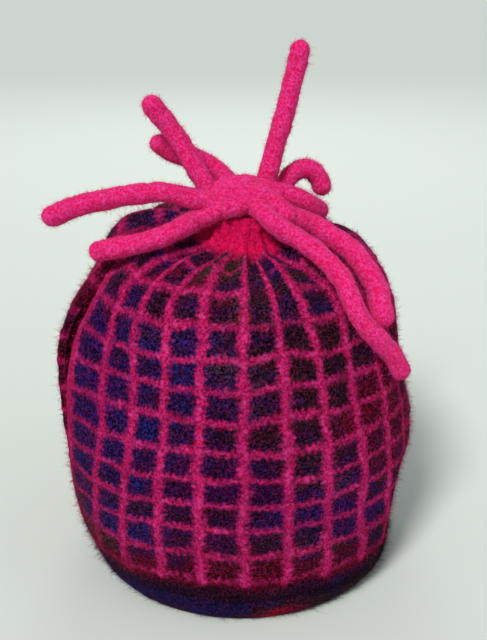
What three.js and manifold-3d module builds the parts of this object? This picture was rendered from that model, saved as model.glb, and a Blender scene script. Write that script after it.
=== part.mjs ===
// A knitted and felted wool tea cosy: a full, barrel-like shell with a slit at
// each side for the pot's handle and spout, gathered at the top into a solid
// neck, and crowned by a knot from which nine felted cords stand and droop.
//
// Millimetres, +Z up. The neck's axis is x = y = 0 while the cosy is being made,
// with the hem on z = 0, the handle slit towards -X, the spout slit towards +X
// and the front panel towards -Y. The group is then moved so that the middle of
// its base is the origin.
import * as THREE from "three";
import { mergeVertices } from "three/addons/utils/BufferGeometryUtils.js";
import Module from "manifold-3d";

const wasm = await Module();
wasm.setup();

// ---------------------------------------------------------------- sizes
const GAP = 0.3; // between two pieces that touch
const WALL = 5; // the felt's thickness
const HEM_WALL = 6.5; // the felt's thickness in the hem band
const HEM_FLAT = 3.6; // width of the flat ring that the hem stands on
const INNER_FOOT = 1; // height above the hem where the wall's full thickness begins
const PANEL_FACES = 36; // faces round the front panel, and round the back panel
const CORD_RADIUS = 5; // a felted cord is about 10 mm thick
const CORD_SIDES = 10;
const CORD_STEP = 5.5; // between two rings of a cord
const TIP_RINGS = 3; // rings that round off a cord's tip
const NECK_SPARE = 1.1; // room that the knot leaves round the neck's folds
const NECK_SIDES = 36; // sides of that room
const MOUND_SIDES = 20; // faces round the knot's mound
const MOUND_BANDS = 12; // faces from the mound's foot to its top
const SAME_POINT = 1e-4; // corners closer than this are one corner

// The outer surface from the hem to the neck's rim: height, half-width from the
// axis to the sides, reach from the axis to the front and to the back, and how
// much higher the row runs where the back panel puffs up.
const PROFILE = [
  { z: 0, side: 77.5, front: 75, back: 78, rise: 0 },
  { z: 2.5, side: 80, front: 77.5, back: 80.5, rise: 0 },
  { z: 7, side: 82.5, front: 79.5, back: 83, rise: 0 },
  { z: 13, side: 85, front: 80.5, back: 85, rise: 0 },
  { z: 22, side: 88, front: 81.5, back: 88, rise: 0 },
  { z: 34, side: 91.5, front: 82.5, back: 91.5, rise: 0 },
  { z: 47, side: 94, front: 83.5, back: 94, rise: 0 },
  { z: 60, side: 95.2, front: 84.3, back: 95, rise: 0 },
  { z: 73, side: 95.2, front: 84.5, back: 95.5, rise: 0 },
  { z: 86, side: 94, front: 83.8, back: 95.2, rise: 0 },
  { z: 99, side: 91.8, front: 81.8, back: 94.2, rise: 0.5 },
  { z: 112, side: 89.2, front: 78.8, back: 92.6, rise: 1.5 },
  { z: 125, side: 86, front: 74.8, back: 90.4, rise: 3 },
  { z: 138, side: 82, front: 69.8, back: 87, rise: 5.5 },
  { z: 149, side: 77, front: 64.2, back: 82, rise: 8 },
  { z: 158, side: 70.4, front: 57.4, back: 75.5, rise: 10.5 },
  { z: 164.5, side: 62, front: 49.5, back: 67.5, rise: 12.5 },
  { z: 169, side: 51, front: 40.5, back: 57, rise: 14 },
  { z: 171.8, side: 39, front: 32, back: 44.5, rise: 14 },
  { z: 173.2, side: 28, front: 25, back: 31, rise: 11 },
  { z: 175.2, side: 20.5, front: 20, back: 21.5, rise: 5 },
  { z: 180, side: 16.8, front: 16.8, back: 16.8, rise: 1 },
  { z: 186, side: 15.6, front: 15.6, back: 15.6, rise: 0 },
  { z: 190.5, side: 14, front: 14, back: 14, rise: 0 },
];
const RISE_AT = 88; // degrees round the axis where the back rises most
const NECK_ROW = 20; // the first row of the upright neck
const CEILING_ROW = 17; // the last row that the inside follows
const HEM_ROWS = { thick: 2, thin: 5 }; // rows over which the wall thins above the hem
const CEILING_Z = 169; // the inside's top, under the neck

// Soft folds that run up into the gathered neck: a crest's place round the axis
// in degrees, and its height.
const PLEATS = [
  { at: 5, height: 2.2 },
  { at: 33, height: 3.0 },
  { at: 62, height: 2.2 },
  { at: 90, height: 3.2 },
  { at: 118, height: 2.4 },
  { at: 147, height: 3.0 },
  { at: 172, height: 2.0 },
  { at: 196, height: 2.6 },
  { at: 217, height: 2.0 },
  { at: 238, height: 2.6 },
  { at: 258, height: 1.8 },
  { at: 281, height: 1.4 },
  { at: 308, height: 4.0 },
  { at: 337, height: 2.6 },
];
// How strongly the folds show at a row: none on the walls, most near the neck.
const PLEAT_ROWS = { start: 10.5, full: 18.5, neck: 21, neckShare: 0.25 };

// Broad, soft unevenness of the walls: its middle, its reach and its height. It
// fades out towards the hem, which stays flat.
const SWELL_ROWS = { none: 0, full: 3 };
const SWELLS = [
  { at: 222, row: 11, wide: 17, tall: 2.2, out: -2 },
  { at: 250, row: 9, wide: 15, tall: 2.5, out: 1.2 },
  { at: 293, row: 12, wide: 14, tall: 2, out: -1.8 },
  { at: 316, row: 5, wide: 20, tall: 2.5, out: 1.6 },
  { at: 205, row: 5, wide: 16, tall: 2, out: 1.5 },
  { at: 40, row: 7, wide: 22, tall: 3, out: -2 },
  { at: 80, row: 11, wide: 24, tall: 3, out: 2 },
  { at: 135, row: 6, wide: 22, tall: 3, out: -1.6 },
  { at: 142, row: 15.5, wide: 30, tall: 2.2, out: 6 },
  { at: 332, row: 10.5, wide: 18, tall: 2.5, out: -3 },
];

// The two slits between the panels. Each edge stands off the slit's middle by
// open, in millimetres round the wall, and out from the wall by out.
const SLITS = {
  handle: { front: { open: 13, out: 6 }, back: { open: 16, out: 9.5 } },
  spout: { front: { open: 15, out: -6 }, back: { open: 18, out: 2 } },
};
const SLIT_ROWS = { from: 4, to: 15 };
const SLIT_FULLNESS = 0.8; // below 1, a slit opens sooner from its ends
const PUSH_PEAK = 0.7; // share of a slit's height where its edges stand out most
const EDGE_REACH = 15; // degrees over which an edge's push outwards fades

// Round the spout slit's foot the felt is tucked in under the spout. out is in
// millimetres at its deepest row. It deepens between two angles on the front and
// fades towards another on the back, where it also ends between two rows.
const TUCK = { row: 5.4, tall: 2.2, out: -9.5, from: 305, full: 327, end: 14 };
const TUCK_BACK_ROWS = { full: 4, none: 7 };
const TUCK_HEM_ROW = 1.5; // from here up the tuck isn't held back by the hem

// The cords' middle lines from root to tip.
const CORDS = [
  {
    name: "cord_far_left",
    route: [
      [-12, -4, 196.5], [-27.9, -2.9, 200.3], [-40, -1.7, 203.3],
      [-52.1, -0.5, 203.3], [-69.1, -0.1, 201.3], [-83.6, -0.4, 198.9],
      [-94.8, -1.5, 195.6],
    ],
  },
  {
    name: "cord_lower_left",
    route: [
      [-10, -9, 196.5], [-23.3, -4.5, 190.4], [-35, -11, 187.5],
      [-47.5, -12.4, 183.5], [-61.6, -8.2, 179.8], [-73.6, -3.5, 177],
    ],
  },
  {
    name: "cord_upper_left",
    route: [
      [-13, 3, 197], [-20.4, 7.5, 208.4], [-24.5, 11.7, 216.8],
      [-28.7, 14.9, 224.9], [-35.4, 17.8, 234.6], [-41.3, 19.4, 242.4],
    ],
  },
  {
    name: "cord_behind_left",
    route: [
      [-1.6, 10, 198], [-7, 18, 205.7], [-14.6, 24, 211.7], [-26.7, 28, 215.1],
      [-36.4, 30.5, 220.8],
    ],
  },
  {
    name: "cord_tall",
    route: [
      [10.5, 8, 197], [15, 9.4, 205.8], [18.4, 10.6, 216.3], [23.6, 11.3, 233.6],
      [28.3, 12.1, 250.5], [32.4, 13.1, 267.2],
    ],
  },
  {
    name: "cord_curled",
    route: [
      [17, 12, 194], [25.5, 14.5, 199.5], [29.9, 16, 204], [35, 16.5, 206.8],
      [40.8, 16, 206.1], [45, 14.9, 201.3], [46.3, 13.5, 197.8],
    ],
  },
  {
    name: "cord_arched",
    route: [
      [8, -2, 200], [16, -5, 201], [26, -8.5, 198], [33, -7.5, 193.5],
      [38.5, -3.5, 189.5],
    ],
  },
  {
    name: "cord_right_upper",
    route: [
      [8, -11, 196], [19, -16.5, 191.5], [32, -15.5, 185.4], [40.2, -22.3, 180.2],
      [48.6, -29.5, 173.7], [51, -40, 168.7], [53.8, -48, 161.3],
      [53.5, -55, 154.2], [53.9, -57, 150.3],
    ],
  },
  {
    name: "cord_right_lower",
    route: [
      [4, -14, 195.5], [9, -22.5, 190.2], [14.8, -25, 186], [21.3, -29, 182.2],
      [28.2, -39.3, 177], [34.9, -49.6, 168.6], [37.2, -56.2, 160.6],
      [41.2, -61.6, 151], [49.2, -63.4, 141.2], [57.4, -62.3, 131.9],
      [62.5, -61.7, 123],
    ],
  },
];

// The knot: a low mound of felted cord with the bights that cross over it.
const KNOT = { z: 197, sides: [15, 13.5, 8] };
const BIGHTS = [
  [[-17, -4, 196], [-8, -4, 201], [3, -7, 201.5], [12, -13, 197], [17, -18.5, 192.5]],
  [[-15, 3, 199.5], [-8, 1, 203.5], [0, 0, 204.5], [8, -2, 202.5], [16, -6, 200]],
  [[-14, -11, 195.5], [-6, -11, 197], [2, -9, 198], [9, 0, 197.5], [18, 11, 196]],
  [[-3, 10, 200], [3, 8, 201], [8, 7.5, 201], [12, 8.5, 200]],
];

// ---------------------------------------------------------------- colours
const wool = (color) =>
  new THREE.MeshStandardMaterial({ color, roughness: 0.95, metalness: 0 });
const checkedWool = wool(0x7a1c4a);
const pinkWool = wool(0xe62a6e);

// ---------------------------------------------------------------- the shell
const RAD = Math.PI / 180;

// A PROFILE column at a fractional row, on a smooth curve through the rows.
function profile(column, row) {
  const last = PROFILE.length - 1;
  const i = Math.min(Math.max(Math.floor(row), 0), last - 1);
  const t = row - i;
  const value = (k) => PROFILE[Math.min(Math.max(k, 0), last)][column];
  const [a, b, c, d] = [value(i - 1), value(i), value(i + 1), value(i + 2)];
  const bend = 2 * a - 5 * b + 4 * c - d;
  return b + 0.5 * t * (c - a + t * (bend + t * (3 * (b - c) + d - a)));
}

// How far to each side of a point the surface's slope is measured.
const ROW_STEP = 0.01;
const SLOPE_STEP = 0.05;

// A smooth step from 0 at low to 1 at high.
function smooth(low, high, x) {
  const t = Math.min(Math.max((x - low) / (high - low), 0), 1);
  return t * t * (3 - 2 * t);
}

// The shortest way from one angle to another, in degrees.
function turn(from, to) {
  return ((((to - from) % 360) + 540) % 360) - 180;
}

// Height of the folds round the axis: a crest at each pleat, a trough between.
function pleatWave(angle) {
  const ahead = PLEATS.findIndex((pleat) => pleat.at > angle);
  const i = ahead === -1 ? 0 : ahead;
  const next = PLEATS[i];
  const before = PLEATS[(i + PLEATS.length - 1) % PLEATS.length];
  const span = (next.at - before.at + 360) % 360;
  const t = ((angle - before.at + 360) % 360) / span;
  const height = before.height + (next.height - before.height) * t;
  return height * Math.cos(2 * Math.PI * t);
}

function pleatStrength(row) {
  const { start, full, neck, neckShare } = PLEAT_ROWS;
  const grown = smooth(start, full, row);
  return grown * (1 - (1 - neckShare) * smooth(full, neck, row));
}

// How far the surface stands off the plain profile.
function relief(angle, row) {
  let swelling = 0;
  for (const swell of SWELLS) {
    const across = turn(swell.at, angle) / swell.wide;
    const along = (row - swell.row) / swell.tall;
    swelling += swell.out * Math.exp(-across * across - along * along);
  }
  const grown = smooth(SWELL_ROWS.none, SWELL_ROWS.full, row);
  return pleatStrength(row) * pleatWave(angle) + grown * swelling;
}

// How far open a slit is at a row: 0 at its ends, 1 in its middle.
function slitShape(row) {
  const t = (row - SLIT_ROWS.from) / (SLIT_ROWS.to - SLIT_ROWS.from);
  return t > 0 && t < 1 ? Math.sin(Math.PI * t) ** SLIT_FULLNESS : 0;
}

// How far a slit's edges stand out at a row: 1 at the peak, 0 at the slit's ends.
function pushShape(row) {
  const t = (row - SLIT_ROWS.from) / (SLIT_ROWS.to - SLIT_ROWS.from);
  if (t <= 0 || t >= 1) return 0;
  const skewed = t ** (Math.log(0.5) / Math.log(PUSH_PEAK));
  return Math.sin(Math.PI * skewed) ** 2;
}

// A point of the outer surface at an angle round the axis, pushed out by flare.
function surfacePoint(angle, row, flare) {
  const before = row - ROW_STEP;
  const after = row + ROW_STEP;
  const along = profile("z", after) - profile("z", before);
  const inward = profile("side", before) - profile("side", after);
  const length = Math.hypot(along, inward);
  const out = relief(((angle % 360) + 360) % 360, row);
  const outward = flare + (out * along) / length;
  const upward = (out * inward) / length;

  const cos = Math.cos(angle * RAD);
  const sin = Math.sin(angle * RAD);
  const reach = profile(sin < 0 ? "front" : "back", row);
  const rise = (profile("rise", row) * (1 + Math.cos((angle - RISE_AT) * RAD))) / 2;
  return new THREE.Vector3(
    (profile("side", row) + outward) * cos,
    (reach + outward) * sin,
    profile("z", row) + rise + upward,
  );
}

// How far in the felt is tucked at a panel's angle and row.
function tuck(isFront, angle, row) {
  const along = (row - TUCK.row) / TUCK.tall;
  const deep = TUCK.out * Math.exp(-along * along) * smooth(0, TUCK_HEM_ROW, row);
  if (isFront) return deep * smooth(TUCK.from, TUCK.full, angle);
  const ended = smooth(TUCK_BACK_ROWS.full, TUCK_BACK_ROWS.none, row);
  return deep * (1 - smooth(0, TUCK.end, angle)) * (1 - ended);
}

// A panel's point of the outer surface, as its angle and its push outwards. The
// front panel runs from the handle slit at 180 degrees to the spout slit at 360,
// the back panel from 0 to 180. share is 0 at the panel's first edge and 1 at
// its last.
function panelPlace(panel, share, row) {
  const isFront = panel === "front";
  const [first, last] = isFront ? ["handle", "spout"] : ["spout", "handle"];
  const open = slitShape(row);
  const shift = (slit) => (open * SLITS[slit][panel].open) / profile("side", row) / RAD;
  const begin = (isFront ? 180 : 0) + shift(first);
  const end = (isFront ? 360 : 180) - shift(last);
  const angle = begin + (end - begin) * share;
  const fade = (degrees) => Math.exp(-((degrees / EDGE_REACH) ** 2));
  const flare =
    SLITS[first][panel].out * fade(angle - begin) +
    SLITS[last][panel].out * fade(end - angle);
  return { angle, flare: pushShape(row) * flare + tuck(isFront, angle, row) };
}

function outerPoint(panel, share, row) {
  const { angle, flare } = panelPlace(panel, share, row);
  return surfacePoint(angle, row, flare);
}

// The point of the inner surface behind an outer point.
function innerPoint(panel, share, row) {
  const { angle, flare } = panelPlace(panel, share, row);
  const at = surfacePoint(angle, row, flare);
  if (row === 0) return at.sub(new THREE.Vector3(at.x, at.y, 0).setLength(HEM_FLAT));
  const across = surfacePoint(angle + SLOPE_STEP, row, 0);
  across.sub(surfacePoint(angle - SLOPE_STEP, row, 0));
  const along = surfacePoint(angle, row + SLOPE_STEP, 0);
  along.sub(surfacePoint(angle, row - SLOPE_STEP, 0));
  const normal = across.cross(along).normalize();
  const thinned = smooth(HEM_ROWS.thick, HEM_ROWS.thin, row);
  at.addScaledVector(normal, -HEM_WALL + (HEM_WALL - WALL) * thinned);
  at.z = Math.max(at.z, INNER_FOOT);
  return at;
}

// A closed mesh from a list of triangles, each three points.
function closedMesh(triangles) {
  const numbers = triangles.flatMap((corners) =>
    corners.flatMap((p) => [p.x, p.y, p.z]),
  );
  const geometry = new THREE.BufferGeometry();
  geometry.setAttribute("position", new THREE.Float32BufferAttribute(numbers, 3));
  return mergeVertices(geometry, SAME_POINT);
}

function shellGeometry() {
  const triangles = [];
  const quad = (a, b, c, d) => triangles.push([a, b, c], [a, c, d]);
  const rim = PROFILE.length - 1;
  const top = new THREE.Vector3(0, 0, PROFILE[rim].z);
  const ceiling = new THREE.Vector3(0, 0, CEILING_Z);
  for (const panel of ["front", "back"]) {
    const outer = [];
    const inner = [];
    for (let row = 0; row <= rim; row++) {
      outer.push([]);
      inner.push([]);
      for (let i = 0; i <= PANEL_FACES; i++) {
        outer[row].push(outerPoint(panel, i / PANEL_FACES, row));
        inner[row].push(innerPoint(panel, i / PANEL_FACES, row));
      }
    }
    for (let i = 0; i < PANEL_FACES; i++) {
      for (let row = 0; row < rim; row++)
        quad(outer[row][i], outer[row][i + 1], outer[row + 1][i + 1], outer[row + 1][i]);
      for (let row = 0; row < CEILING_ROW; row++)
        quad(inner[row][i + 1], inner[row][i], inner[row + 1][i], inner[row + 1][i + 1]);
      quad(outer[0][i + 1], outer[0][i], inner[0][i], inner[0][i + 1]);
      triangles.push([outer[rim][i], outer[rim][i + 1], top]);
      triangles.push([inner[CEILING_ROW][i + 1], inner[CEILING_ROW][i], ceiling]);
    }
    for (let row = SLIT_ROWS.from; row < SLIT_ROWS.to; row++) {
      const last = PANEL_FACES;
      quad(inner[row][0], outer[row][0], outer[row + 1][0], inner[row + 1][0]);
      quad(outer[row][last], inner[row][last], inner[row + 1][last], outer[row + 1][last]);
    }
  }
  return closedMesh(triangles);
}

// ---------------------------------------------------------------- the cords
// A round cord along a route of points, flat at its root and round at its tip.
function cordGeometry(route, radius) {
  const curve = new THREE.CatmullRomCurve3(
    route.map((point) => new THREE.Vector3(...point)),
    false,
    "centripetal",
  );
  const steps = Math.round(curve.getLength() / CORD_STEP);
  const frames = curve.computeFrenetFrames(steps, false);
  const rings = [];
  const ring = (middle, k, size) => {
    const points = [];
    for (let i = 0; i < CORD_SIDES; i++) {
      const angle = (2 * Math.PI * i) / CORD_SIDES;
      points.push(
        middle
          .clone()
          .addScaledVector(frames.normals[k], size * Math.cos(angle))
          .addScaledVector(frames.binormals[k], size * Math.sin(angle)),
      );
    }
    rings.push(points);
  };
  for (let k = 0; k <= steps; k++) ring(curve.getPointAt(k / steps), k, radius);
  const end = curve.getPointAt(1);
  for (let k = 1; k < TIP_RINGS; k++) {
    const lean = (k / TIP_RINGS) * 90 * RAD;
    const middle = end.clone().addScaledVector(frames.tangents[steps], radius * Math.sin(lean));
    ring(middle, steps, radius * Math.cos(lean));
  }
  const root = curve.getPointAt(0);
  const tip = end.clone().addScaledVector(frames.tangents[steps], radius);
  const triangles = [];
  for (let i = 0; i < CORD_SIDES; i++) {
    const j = (i + 1) % CORD_SIDES;
    triangles.push([root, rings[0][j], rings[0][i]]);
    for (let k = 0; k + 1 < rings.length; k++) {
      triangles.push([rings[k][i], rings[k][j], rings[k + 1][j]]);
      triangles.push([rings[k][i], rings[k + 1][j], rings[k + 1][i]]);
    }
    triangles.push([rings[rings.length - 1][i], rings[rings.length - 1][j], tip]);
  }
  return closedMesh(triangles);
}

// ---------------------------------------------------------------- solids
function toSolid(geometry) {
  return new wasm.Manifold(
    new wasm.Mesh({
      numProp: 3,
      vertProperties: geometry.attributes.position.array,
      triVerts: new Uint32Array(geometry.index.array),
    }),
  );
}

function toGeometry(solid) {
  const mesh = solid.getMesh();
  const geometry = new THREE.BufferGeometry();
  geometry.setAttribute("position", new THREE.BufferAttribute(mesh.vertProperties, 3));
  geometry.setIndex(new THREE.BufferAttribute(mesh.triVerts, 1));
  return geometry;
}

// The geometry of a three.js class as a solid, with its shared corners merged.
function plainSolid(geometry) {
  geometry.deleteAttribute("normal");
  geometry.deleteAttribute("uv");
  return toSolid(mergeVertices(geometry, SAME_POINT));
}

function cordSolid(route, radius) {
  return toSolid(cordGeometry(route, radius));
}

// The biggest of the bodies that a cut leaves.
function biggest(solid) {
  return solid.decompose().reduce((a, b) => (a.volume() > b.volume() ? a : b));
}

// Room for the neck, which the knot and the cords keep clear of.
function neckRoom() {
  const rim = PROFILE.length - 1;
  const outline = [new THREE.Vector2(0, PROFILE[CEILING_ROW].z)];
  for (let row = NECK_ROW; row <= rim; row++)
    outline.push(new THREE.Vector2(PROFILE[row].side + NECK_SPARE, PROFILE[row].z));
  outline[outline.length - 1].y += GAP;
  outline.push(new THREE.Vector2(0, PROFILE[rim].z + GAP));
  return plainSolid(new THREE.LatheGeometry(outline, NECK_SIDES).rotateX(Math.PI / 2));
}

function knotSolid(spare) {
  const mound = new THREE.SphereGeometry(1, MOUND_SIDES, MOUND_BANDS);
  mound.scale(...KNOT.sides.map((size) => size + spare)).translate(0, 0, KNOT.z);
  let solid = plainSolid(mound);
  for (const route of BIGHTS) solid = solid.add(cordSolid(route, CORD_RADIUS + spare));
  return solid;
}

// ---------------------------------------------------------------- the cosy
const cosy = new THREE.Group();

function addPiece(name, geometry, material) {
  const mesh = new THREE.Mesh(geometry, material);
  mesh.name = name;
  cosy.add(mesh);
}

addPiece("body", shellGeometry(), checkedWool);
const room = neckRoom();
addPiece("crown_knot", toGeometry(biggest(knotSolid(0).subtract(room))), pinkWool);
let taken = room.add(knotSolid(GAP));
for (const cord of CORDS) {
  const solid = biggest(cordSolid(cord.route, CORD_RADIUS).subtract(taken));
  addPiece(cord.name, toGeometry(solid), pinkWool);
  taken = taken.add(cordSolid(cord.route, CORD_RADIUS + GAP));
}

const bounds = new THREE.Box3().setFromObject(cosy);
const middle = bounds.getCenter(new THREE.Vector3());
cosy.position.set(-middle.x, -middle.y, -bounds.min.z);
cosy.updateMatrixWorld(true);

export default cosy;
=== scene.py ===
"""The looks of a felted wool tea cosy: a checked shell and a crown of pink cords."""

import itertools
import math
from types import SimpleNamespace

import bpy
import numpy as np
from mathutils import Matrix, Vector


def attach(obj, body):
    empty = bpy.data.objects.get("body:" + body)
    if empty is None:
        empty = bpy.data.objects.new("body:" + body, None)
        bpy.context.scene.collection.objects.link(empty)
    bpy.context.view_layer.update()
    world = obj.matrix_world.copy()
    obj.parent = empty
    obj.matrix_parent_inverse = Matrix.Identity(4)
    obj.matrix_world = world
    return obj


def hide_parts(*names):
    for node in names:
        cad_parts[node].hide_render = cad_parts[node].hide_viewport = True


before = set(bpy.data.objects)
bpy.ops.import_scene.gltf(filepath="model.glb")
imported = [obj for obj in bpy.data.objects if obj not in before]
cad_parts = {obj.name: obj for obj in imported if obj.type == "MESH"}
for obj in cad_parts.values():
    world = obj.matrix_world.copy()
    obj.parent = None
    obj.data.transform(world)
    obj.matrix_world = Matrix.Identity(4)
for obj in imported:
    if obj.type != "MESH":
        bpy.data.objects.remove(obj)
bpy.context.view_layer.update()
rng = np.random.default_rng(11)

# ---------- the shell's sizes
# Millimetres. The neck's axis is x = y = 0 here, and NECK is where it stands.
# Degrees run from the spout slit at 0 over the back at 90 to the handle slit at
# 180 and the front at 270. Rows count the lines of PROFILE from the hem up.
NECK = np.array([2.852161, -5.769188, 0.0])
WALL, HEM_WALL = 5.0, 6.5
WALL_ROWS = 2, 5  # the hem's thicker wall thins to the shell's between these
HEM_FLAT, INNER_FOOT = 3.6, 1.0  # width of the flat underside, foot of the inside
# Height, half-width to the sides, reach to the front, to the back, back's rise.
Z, SIDE, FRONT, BACK, RISE = range(5)
PROFILE = np.array([
    (0, 77.5, 75, 78, 0),
    (2.5, 80, 77.5, 80.5, 0),
    (7, 82.5, 79.5, 83, 0),
    (13, 85, 80.5, 85, 0),
    (22, 88, 81.5, 88, 0),
    (34, 91.5, 82.5, 91.5, 0),
    (47, 94, 83.5, 94, 0),
    (60, 95.2, 84.3, 95, 0),
    (73, 95.2, 84.5, 95.5, 0),
    (86, 94, 83.8, 95.2, 0),
    (99, 91.8, 81.8, 94.2, 0.5),
    (112, 89.2, 78.8, 92.6, 1.5),
    (125, 86, 74.8, 90.4, 3),
    (138, 82, 69.8, 87, 5.5),
    (149, 77, 64.2, 82, 8),
    (158, 70.4, 57.4, 75.5, 10.5),
    (164.5, 62, 49.5, 67.5, 12.5),
    (169, 51, 40.5, 57, 14),
    (171.8, 39, 32, 44.5, 14),
    (173.2, 28, 25, 31, 11),
    (175.2, 20.5, 20, 21.5, 5),
    (180, 16.8, 16.8, 16.8, 1),
    (186, 15.6, 15.6, 15.6, 0),
    (190.5, 14, 14, 14, 0),
])
RISE_AT = 88
CEILING_ROW, CEILING_Z = 17, 169.0  # where the inside ends under the neck
INNER_TOP_ROWS = 15.5, 16, 16.5, CEILING_ROW
# Pleats that run up into the neck: the angle of each crest and its height.
PLEATS = np.array([
    (5, 2.2), (33, 3.0), (62, 2.2), (90, 3.2), (118, 2.4), (147, 3.0), (172, 2.0),
    (196, 2.6), (217, 2.0), (238, 2.6), (258, 1.8), (281, 1.4), (308, 4.0),
    (337, 2.6),
])
PLEATS_FROM, PLEATS_FULL, PLEATS_EASED = 10.5, 18.5, 21
PLEATS_LOST = 0.75  # the share of their height that is gone at the last of these rows
# Swells and hollows: angle, row, reach in degrees and in rows, how far out.
SWELLS_FULL = 3  # they grow from the hem to their full size at this row
SWELLS = [
    (222, 11, 17, 2.2, -2),
    (250, 9, 15, 2.5, 1.2),
    (293, 12, 14, 2, -1.8),
    (316, 5, 20, 2.5, 1.6),
    (205, 5, 16, 2, 1.5),
    (40, 7, 22, 3, -2),
    (80, 11, 24, 3, 2),
    (135, 6, 22, 3, -1.6),
    (142, 15.5, 30, 2.2, 6),
    (332, 10.5, 18, 2.5, -3),
]
# How far each slit edge stands off the slit's middle, and how far out.
SLITS = {
    "handle": {"front": (13, 6), "back": (16, 9.5)},
    "spout": {"front": (15, -6), "back": (18, 2)},
}
SLIT_FROM, SLIT_TO = 4, 15
# How far up the slit its edges stand out most, and the degrees that they take along.
PUSH_PEAK, EDGE_REACH = 0.7, 15
# Round the spout slit's foot the felt is tucked in: row, height in rows, depth.
TUCK_ROW, TUCK_TALL, TUCK_OUT = 5.4, 2.2, -9.5
# It starts and is full at these degrees on the front, and is gone at this on the back.
TUCK_FROM, TUCK_FULL, TUCK_END = 305, 327, 14
TUCK_HEM_ROW = 1.5  # from the hem up it grows to its full depth here
TUCK_BACK_ROWS = 4, 7  # rows over which it fades on the back

# ---------- the knitting
# Checks are counted across from a panel's first edge, and from 20 on the back.
CHECKS, BACK_FIRST = 13, 20
FRONT_MIDDLE = CHECKS / 2
STITCHES, STITCH_ROWS = 6, 5  # to a check, across and up
# Profile rows and the check rows that they fall on: 0 is the lowest check's middle.
CHECK_AT = np.array([
    (0, -2.57), (1, -2.32), (2, -1.97), (3, -1.54), (4, -0.9), (5.06, 0), (6.34, 1),
    (7.36, 2), (8.38, 3), (9.38, 4), (10.52, 5), (11.58, 6), (12.62, 7), (13.76, 8),
    (15.08, 9), (16.9, 10), (18.38, 11), (23, 12.8),
])
# Near the neck the gathers squeeze some columns: place across the front, and the
# place in the plain fabric that shows there.
GATHER_ROWS = 11.8, 16.5
GATHERS = np.array([
    (0, 0), (0.12, 0.115), (0.2, 0.192), (0.262, 0.269), (0.343, 0.346),
    (0.438, 0.423), (0.503, 0.5), (0.555, 0.577), (0.655, 0.654), (0.735, 0.731),
    (0.81, 0.808), (1, 1),
])
HEM_TOP, NECK_START = -0.74, 11.42  # in check rows
SLIT_FOOT, SLIT_HEAD = (-1.0, -0.6), (9.0, 9.6)  # where its rims begin and end
# The felt has shrunk unevenly, so columns and rows stray by lumps of two sizes. Each
# size has its share, how many lumps go to a check across and up, and a seed.
STRAY_ASIDE, STRAY_UP = 0.09, 0.13  # in checks
STRAY_EDGE, STRAY_TOP = (0.1, 1.6), (7.6, 9.4)  # nothing strays at slits and neck
STRAY_COLUMNS = [(1, 0.7, 0.62, 61), (0.5, 1.3, 1.5, 62)]
STRAY_ROWS = [(1, 0.75, 0.5, 63), (0.5, 1.6, 1.2, 64)]
# Narrow folds below the neck: check across the front, half-width, depth in mm.
FOLDS = [(6.0, 0.34, 1.7), (7.0, 0.3, 1.9), (2.6, 0.4, 1.0), (9.5, 0.35, 0.9)]
FOLDS_GROW, FOLDS_END = (13, 16.5), (20, 21.5)  # rows
PINK_COLUMN, PINK_ROW = 0.122, 0.102  # half-widths, in checks
RIM, BACK_RIM = 0.4, -0.2  # widths of the slits' pink rims, none on the back
GRID_RAISED, STITCH_DEEP = 0.45, 0.25
GRID_FULL_ROW, LUMPS_FULL_ROW = 2, 1.5  # the hem's edge is smooth under these
STITCHES_END = 17, 20  # rows over which the columns of stitches fade
# Lumps in the felt: height and size in millimetres, and a seed.
SHELL_LUMPS = [(0.35, 7, 1), (0.3, 3, 2), (0.18, 1.6, 3)]
CORD_LUMPS = [(0.4, 6, 1), (0.34, 2.8, 2), (0.16, 1.5, 3)]
KNOT_LUMPS = [(0.35, 5, 71), (0.3, 2.6, 72), (0.15, 1.5, 73)]
LIP_BULGE = 2.0  # of the slit edges

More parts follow.
